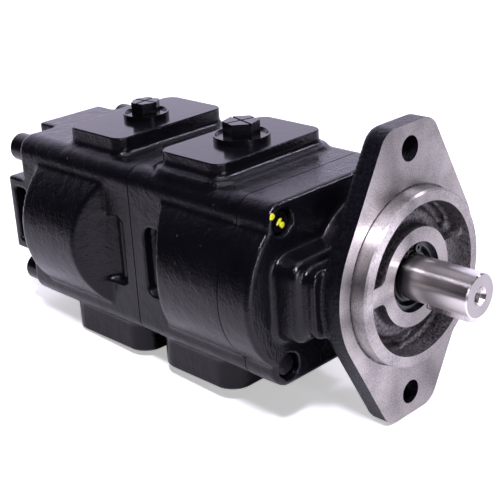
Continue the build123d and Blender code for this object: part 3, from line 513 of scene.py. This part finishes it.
def beyond(made, band):
    """Keeps what lies beyond a band's plane."""
    axis, place, side = band
    parts = made.verts[:] + made.edges[:] + made.faces[:]
    point = [0.0, 0.0, 0.0]
    point[axis] = place
    outward = [0.0, 0.0, 0.0]
    outward[axis] = side
    bmesh.ops.bisect_plane(made, geom=parts, plane_co=point, plane_no=outward, clear_inner=True)
    return made


def remeshed(made):
    """An even mesh of the same solid."""
    mesh = bpy.data.meshes.new("remesh_source")
    made.to_mesh(mesh)
    carrier = placed("remesh_source", mesh)
    modifier = carrier.modifiers.new("remesh", "REMESH")
    modifier.mode = "VOXEL"
    modifier.voxel_size = CAST_VOXEL
    graph = bpy.context.evaluated_depsgraph_get()
    even = bpy.data.meshes.new_from_object(carrier.evaluated_get(graph))
    bpy.data.objects.remove(carrier)
    return even


def points_of(mesh):
    flat = np.empty(len(mesh.vertices) * 3)
    mesh.vertices.foreach_get("co", flat)
    return flat.reshape(-1, 3)


def smoothed(mesh):
    """The mesh's points with its edges rounded, without shrinking it."""
    ends = np.empty(len(mesh.edges) * 2, dtype=np.int64)
    mesh.edges.foreach_get("vertices", ends)
    first, second = ends.reshape(-1, 2).T
    points = points_of(mesh)
    count = len(points)
    neighbours = np.bincount(first, minlength=count) + np.bincount(second, minlength=count)
    for step in SMOOTHING_STEPS * SMOOTHING_ROUNDS:
        total = np.zeros_like(points)
        for axis in range(3):
            total[:, axis] += np.bincount(first, points[second, axis], count)
            total[:, axis] += np.bincount(second, points[first, axis], count)
        points = points + step * (total / neighbours[:, None] - points)
    return points


def fitted_share(points, bands):
    """How far each point goes back onto the CAD surface, and how deep it sinks below a band."""
    share = np.zeros(len(points))
    sink = np.zeros(len(points))
    y, z = points[:, 1], points[:, 2]
    share[near_axis(y, z, TRUE_CAVITY_RADIUS)] = 1.0
    for side in (-1, 1):
        for level in (-1, 1):
            gap = np.hypot(y - MIDDLE_Y - side * TIE_BOLT_Y, z - level * TIE_BOLT_Z)
            share[gap < TRUE_BOLT_RADIUS] = 1.0
    for axis, place, side in bands:
        depth = side * (points[:, axis] - place)
        share = np.maximum(share, np.clip((depth + BAND_LEAD) / (BAND_LEAD - CAST_VOXEL), 0.0, 1.0))
        sink[depth > 0] = np.maximum(sink[depth > 0], BAND_FIRST_SINK)
        sink[depth > BAND_OVERLAP] = BAND_SINK
    return share, sink


def casting(node, name, bands):
    """A casting's skin: soft cast edges outside, true bores, and room for the bands of CAD surface."""
    source = welded_copy(node)
    surface = BVHTree.FromBMesh(source)
    mesh = remeshed(source)
    source.free()
    points = smoothed(mesh)
    share, sink = fitted_share(points, bands)
    for index in np.flatnonzero(share > 0):
        nearest, normal = surface.find_nearest(Vector(points[index]))[:2]
        points[index] += share[index] * (np.array(nearest) - points[index]) - sink[index] * np.array(normal)
    mesh.vertices.foreach_set("co", points.ravel())
    mesh.update()
    drop_hidden(mesh, points, bands)
    mesh.shade_smooth()
    mesh.materials.clear()
    return placed(name, mesh)


def drop_hidden(mesh, points, bands):
    """Deletes what lies deep under a band of true surface."""
    hidden = np.zeros(len(points), dtype=bool)
    for axis, place, side in bands:
        hidden |= side * (points[:, axis] - place) > BAND_OVERLAP
    made = bmesh.new()
    made.from_mesh(mesh)
    made.verts.ensure_lookup_table()
    under = [made.verts[index] for index in np.flatnonzero(hidden)]
    bmesh.ops.delete(made, geom=under, context="VERTS")
    made.to_mesh(mesh)
    made.free()


def true_bands(node, name, bands, edge, edge_slot=-1):
    """The CAD surface beyond each of a casting's bands, in one piece with broken edges. Where the broken edge
    has its own material slot, as at the joints, it keeps its full width."""
    joined = bmesh.new()
    part = bpy.data.meshes.new("band")
    for band in bands:
        cut = beyond(welded_copy(node), band)
        cut.to_mesh(part)
        cut.free()
        joined.from_mesh(part)
    bpy.data.meshes.remove(part)
    piece = placed_form(name, joined)
    soften_edges(piece, edge, slot=edge_slot)
    piece.modifiers["edge_break"].use_clamp_overlap = edge_slot < 0
    return piece


def soften_edges(piece, width, slot=-1):
    """Breaks the sharp edges of a CAD mesh and shades the rest smooth."""
    weld = piece.modifiers.new("weld", "WELD")
    weld.merge_threshold = WELD_DISTANCE
    bevel = piece.modifiers.new("edge_break", "BEVEL")
    bevel.width = width
    bevel.segments = EDGE_SEGMENTS
    bevel.limit_method = "ANGLE"
    bevel.angle_limit = math.radians(EDGE_ANGLE)
    bevel.harden_normals = False
    bevel.material = slot
    normals = piece.modifiers.new("normals", "WEIGHTED_NORMAL")
    normals.keep_sharp = True


# Which finish goes where on the castings


def near_axis(y, z, radius):
    """Points within this radius of either gear axis."""
    return (np.hypot(y, z) < radius) | (np.hypot(y - GEAR_AXIS_Y, z) < radius)


def near_inlet(x, y, z, radius):
    """Points within this radius of an inlet's axis, below the gears."""
    picked = np.zeros(len(x), dtype=bool)
    for port_x in PORT_X:
        picked |= (np.hypot(x - port_x, y - MIDDLE_Y) < radius) & (z < BORED_BELOW_Z)
    return picked


def between(values, limits):
    """Values above the first limit and below the second."""
    return (values > limits[0]) & (values < limits[1])


def cover_slots(middles, normals):
    """Paint outside, bare casting in the hollow behind the pilot ring, a coarser skin round the flange."""
    x, y, z = middles.T
    radius = np.hypot(y, z)
    picked = np.full(len(middles), COVER_PAINT)
    picked[between(radius, (BORE_SKIN_RADIUS, HOLLOW_SKIN_RADIUS)) & (x > HOLLOW_FLOOR_X)] = COVER_BARE
    picked[(x > COARSE_X) & (radius > COARSE_RADIUS)] = COVER_COARSE
    return picked


def cover_band_slots(middles, normals):
    """Machined faces and rims, bare casting in the hollow, the coarse skin round the flange, and paint."""
    x, y, z = middles.T
    radius = np.hypot(y, z)
    picked = np.full(len(middles), COVER_PAINT)
    front = x > COVER_JOINT_X / 2
    picked[front] = COVER_TURNED
    picked[front & (radius > FACE_RADIUS) & (np.abs(normals[:, 0]) < SQUARE_ON)] = COVER_COARSE
    hollow = front & between(radius, HOLLOW_RADII)
    picked[hollow & (np.abs(normals[:, 0]) < SIDE_ON)] = COVER_BARE
    picked[hollow & (y > NOTCH_Y) & (x < NOTCH_X)] = COVER_BARE
    picked[front & (x < GROOVE_X) & between(radius, GROOVE_RADII)] = COVER_BARE
    bore = front & (radius < BORE_RIM_RADIUS)
    picked[bore] = COVER_PAINT
    picked[bore & (normals[:, 0] > SQUARE_ON) & (x > BOSS_FACE_X)] = COVER_TURNED
    return picked


def housing_slots(middles, normals):
    """Paint outside, bored iron in the gear cavities and the ports."""
    x, y, z = middles.T
    picked = np.full(len(middles), HOUSING_PAINT)
    picked[near_axis(y, z, CAVITY_RADIUS + BORED_MARGIN) & (x > REAR_WALL_X)] = HOUSING_BORED
    picked[near_inlet(x, y, z, INLET_BORE_RADIUS + BORED_MARGIN)] = HOUSING_BORED
    return picked


def housing_band_slots(middles, normals):
    """As on the castings, with smoother paint on the machined pads."""
    z = middles[:, 2]
    picked = housing_slots(middles, normals)
    pad = (z > OUTLET_PAINT_Z) | (z < INLET_PAINT_Z)
    picked[pad & (np.abs(normals[:, 2]) > PAD_SQUARE_ON) & (picked == HOUSING_PAINT)] = HOUSING_TRIM
    return picked


def add_materials(piece, materials, chooser):
    """Gives the piece its slots, and each face the slot that chooser picks from its middle and normal."""
    mesh = piece.data
    for material in materials:
        mesh.materials.append(material)
    middles = np.empty(len(mesh.polygons) * 3)
    normals = np.empty(len(mesh.polygons) * 3)
    mesh.polygons.foreach_get("center", middles)
    mesh.polygons.foreach_get("normal", normals)
    picked = chooser(middles.reshape(-1, 3), normals.reshape(-1, 3))
    mesh.polygons.foreach_set("material_index", picked.astype(np.int32))
    mesh.update()


def build_castings():
    """Each casting as a soft skin, its machined surfaces, and thin bands beside the joints."""
    cover = casting("front_cover", "cover_casting", FLANGE_BANDS + COVER_JOINTS)
    add_materials(cover, (PAINT, CAST, ROUGH_PAINT), cover_slots)
    face = true_bands("front_cover", "cover_machined_surfaces", FLANGE_BANDS, MACHINED_EDGE)
    add_materials(face, (PAINT, CAST, ROUGH_PAINT, MACHINED), cover_band_slots)
    joint = true_bands("front_cover", "cover_joint_band", COVER_JOINTS, COVER_JOINT_EDGE, HOUSING_TRIM)
    add_materials(joint, (PAINT, BORED, JOINT_LINE), housing_slots)
    pieces = [(cover, "front_cover"), (face, None), (joint, None)]
    for node, joints in (("front_gear_housing", FRONT_JOINTS), ("rear_gear_housing", REAR_JOINTS)):
        label = node.replace("_gear", "")
        skin = casting(node, f"{label}_casting", joints + PAD_BANDS)
        add_materials(skin, (PAINT, BORED), housing_slots)
        joint = true_bands(node, f"{label}_joint_bands", joints, JOINT_EDGE, HOUSING_TRIM)
        add_materials(joint, (PAINT, BORED, JOINT_LINE), housing_slots)
        pads = true_bands(node, f"{label}_pad_faces", PAD_BANDS, PAD_EDGE)
        add_materials(pads, (PAINT, BORED, SMOOTH_PAINT), housing_band_slots)
        pieces += [(skin, node), (joint, None), (pads, None)]
    for piece, node in pieces:
        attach(piece, "pump_body")
        if node:
            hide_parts(node)


# Small pieces: threads and dabs of paint


def joined_rings(made, rings):
    """Faces between rings of points, and a face over each end."""
    for first, second in zip(rings, rings[1:]):
        for index in range(len(first)):
            after = (index + 1) % len(first)
            made.faces.new((first[index], first[after], second[after], second[index]))
    made.faces.new(rings[0][::-1])
    made.faces.new(rings[-1])
    bmesh.ops.recalc_face_normals(made, faces=made.faces)


def thread(name, mouth, axis, wall, ridge, pitch, segments=THREAD_SEGMENTS):
    """An inside thread: a ridge that winds along the wall of a bore."""
    axis = Vector(axis)
    side = axis.orthogonal().normalized()
    other = axis.cross(side)
    turns = THREAD_LENGTH / pitch
    root = wall + THREAD_ROOTING
    made = bmesh.new()
    rings = []
    for step in range(int(turns * segments) + 1):
        angle = math.tau * step / segments
        middle = Vector(mouth) + axis * (pitch * step / segments)
        out = side * math.cos(angle) + other * math.sin(angle)
        left = turns * segments - step
        crest = wall - ridge * min(1.0, step / segments / THREAD_RUN_OUT, left / segments / THREAD_RUN_OUT)
        profile = ((root, -THREAD_FOOT), (crest, -THREAD_CREST), (crest, THREAD_CREST), (root, THREAD_FOOT))
        rings.append([made.verts.new(middle + out * r + axis * (pitch * along)) for r, along in profile])
    joined_rings(made, rings)
    return placed_form(name, made)


def paint_mark(name, plane_x, points, radius):
    """A dab of thick paint, flat at its back and crowned at its front, with a slightly wavy rim."""
    rng = np.random.default_rng(len(name) + int(abs(points[0][0]) * 1e6))
    start, end = Vector(points[0]), Vector(points[-1])
    along = (end - start) / 2
    middle = (start + end) / 2
    direction = along.normalized() if along.length else Vector((1.0, 0.0))
    across = Vector((-direction.y, direction.x))
    wave = np.ones(MARK_POINTS)
    for height, count in MARK_WAVES:
        wave += height * np.sin(np.arange(MARK_POINTS) * count * math.tau / MARK_POINTS + rng.uniform(0, 6))
    made = bmesh.new()
    rings = []
    for level in range(MARK_LEVELS):
        lean = math.pi / 2 * level / MARK_LEVELS
        ring = []
        for index in range(MARK_POINTS):
            angle = math.tau * index / MARK_POINTS
            reach = radius * wave[index] * math.cos(lean) ** MARK_CROWN
            spot = direction * (reach + along.length * math.cos(lean)) * math.cos(angle)
            spot += across * reach * math.sin(angle)
            ring.append(made.verts.new((plane_x + MARK_HEIGHT * math.sin(lean), *(middle + spot))))
        rings.append(ring)
    joined_rings(made, rings)
    piece = placed_form(name, made)
    piece.data.shade_smooth()
    return piece


def build_small_pieces():
    """The inlet threads, the thread in the shaft's end and the dabs of yellow paint."""
    for name, x in INLET_THREADS:
        mouth = (x, MIDDLE_Y, INLET_THREAD_Z)
        piece = thread(name, mouth, (0, 0, 1), INLET_BORE_RADIUS, INLET_THREAD_RIDGE, INLET_THREAD_PITCH)
        piece.data.materials.append(BORED)
        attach(piece, "pump_body")
    mouth = (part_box("drive_shaft")[1][0] - SHAFT_THREAD_START, 0, 0)
    piece = thread("shaft_end_thread", mouth, (-1, 0, 0), SHAFT_BORE_RADIUS, SHAFT_THREAD_RIDGE,
                   SHAFT_THREAD_PITCH, SHAFT_THREAD_SEGMENTS)
    piece.data.materials.append(STEEL)
    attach(piece, "drive_train")
    for name, plane_x, points, radius in PAINT_MARKS:
        piece = paint_mark(name, plane_x, points, radius)
        piece.data.materials.append(YELLOW_PAINT)
        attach(piece, "pump_body")


def dress(names, material, edge=None):
    """Gives CAD nodes their material, and broken edges where asked."""
    for name in names:
        node = nodes[name]
        node.data.materials.clear()
        node.data.materials.append(material)
        if edge:
            soften_edges(node, edge)


def dress_nodes():
    """Materials for the pieces whose CAD shape is kept."""
    dress([name for name in nodes if name.endswith("_block")], ALUMINIUM)
    dress([name for name in nodes if name.endswith("_bush")], BRONZE)
    dress([name for name in nodes if name.endswith("_seal")], RUBBER)
    dress(["rear_drive_gear", "front_driven_gear", "rear_driven_gear", "coupling_shaft"], STEEL)
    dress(["shaft_key", "cover_joint_dowels", "middle_joint_dowels"], STEEL)
    dress(["drive_shaft"], SHAFT_STEEL)
    dress(["seal_retaining_ring"], SPRING_STEEL)
    dress(["tie_bolts"], SMOOTH_PAINT, BOLT_EDGE)
    dress(["front_outlet_plug", "rear_outlet_plug"], PLASTIC, PLUG_EDGE)


# Stage: floor, room, lights and camera


def stage_floor():
    """A pale floor under the pump as it rests, a little nose-up."""
    along = (FLANGE_TIP - PAD_HEEL).normalized()
    normal = along.cross(Vector((0, 1, 0))).normalized()
    if normal.z < 0:
        normal = -normal
    bpy.ops.mesh.primitive_plane_add(size=FLOOR_SIZE)
    floor = bpy.context.active_object
    floor.name = "floor"
    floor.rotation_mode = "QUATERNION"
    floor.rotation_quaternion = normal.to_track_quat("Z", "Y")
    floor.location = FLANGE_TIP - normal * FLOOR_GAP
    s = Shader("floor_paper")
    paper = s.tones(s.noise(0.3), (0.93, 0.93, 0.93), (0.96, 0.96, 0.96))
    place = s.add("ShaderNodeNewGeometry").outputs["Position"]
    fade = s.ramp(s.along("Y", *FLOOR_FADE, place), [(0.0, FLOOR_DARK), (1.0, WHITE[:3])])
    seen = s.seen()
    colour = s.mixed(s.mixed(paper, fade), paper, seen, "MIX")
    roughness = s.levels(s.noise(0.01), 0.6, 0.7)
    floor.data.materials.append(s.finish(colour, roughness, glow=(*FLOOR_GLOW, 1.0), glow_strength=seen))
    s.material.cycles.emission_sampling = "NONE"


def stage_world():
    """A dark room with a bright backdrop behind the pump, for reflections alone: the camera sees white."""
    world = bpy.data.worlds.new("studio")
    bpy.context.scene.world = world
    world.use_nodes = True
    room = Nodes(world.node_tree)
    azimuth = math.radians(CAMERA_AZIMUTH)
    away = (-math.sin(azimuth), math.cos(azimuth), 0.0)
    down = (0.0, 0.0, -1.0)
    direction = room.add("ShaderNodeTexCoord").outputs["Generated"]
    shares = []
    for axis, reach in ((away, BACKDROP_SIDES), (down, BACKDROP_TOP)):
        cosine = room.add("ShaderNodeVectorMath", operation="DOT_PRODUCT")
        room.link(direction, cosine.inputs[0])
        room.link(axis, cosine.inputs[1])
        shares.append(room.levels(cosine.outputs["Value"], 0.0, 1.0, *reach, "SMOOTHSTEP"))
    backdrop = room.ramp(room.calculate("MULTIPLY", *shares), [(0.0, ROOM_COLOUR), (1.0, BACKDROP_COLOUR)])
    colour = room.mixed(backdrop, WHITE, room.seen(), "MIX")
    room.link(colour, world.node_tree.nodes["Background"].inputs["Color"])


def placed_light(name, kind, axis, direction):
    """A light of this kind, with one of its axes turned to a direction."""
    data = bpy.data.lights.new(name, kind)
    data.color = LIGHT_COLOUR
    light = placed(name, data)
    light.rotation_mode = "QUATERNION"
    light.rotation_quaternion = Vector(direction).to_track_quat(axis, "Y")
    return light


def stage_lights():
    """A broad round light overhead, a tall box that the turned flange reflects, and two small boxes for
    glints on the near and far edges."""
    ceiling = placed_light("ceiling", "SUN", "Z", CEILING_DIRECTION).data
    ceiling.energy = CEILING_STRENGTH
    ceiling.angle = math.radians(CEILING_WIDTH)
    for name, place, target, size, power in AREA_LIGHTS:
        light = placed_light(name, "AREA", "-Z", Vector(target) - Vector(place))
        light.location = place
        light.data.shape = "RECTANGLE"
        light.data.size, light.data.size_y = size
        light.data.energy = power


def stage_camera():
    """The camera that took the photo."""
    azimuth = math.radians(CAMERA_AZIMUTH)
    elevation = math.radians(CAMERA_ELEVATION)
    roll = math.radians(CAMERA_ROLL)
    level = math.cos(elevation)
    back = Vector((math.sin(azimuth) * level, -math.cos(azimuth) * level, math.sin(elevation)))
    right = Vector((math.cos(azimuth), math.sin(azimuth), 0))
    up = back.cross(right)
    turned_right = right * math.cos(roll) + up * math.sin(roll)
    turned_up = -right * math.sin(roll) + up * math.cos(roll)
    data = bpy.data.cameras.new("photo_camera")
    data.sensor_width = SENSOR_WIDTH
    data.lens = SENSOR_WIDTH * CAMERA_FOCAL_PIXELS / PHOTO_WIDTH
    data.clip_start = CAMERA_NEAR
    camera = placed("photo_camera", data)
    turn = Matrix((turned_right, turned_up, back)).transposed()
    camera.matrix_world = Matrix.Translation(CAMERA_PLACE) @ turn.to_4x4()
    bpy.context.scene.camera = camera
    bpy.context.scene.view_settings.view_transform = "Standard"


build_castings()
build_small_pieces()
dress_nodes()
stage_floor()
stage_world()
stage_lights()
stage_camera()
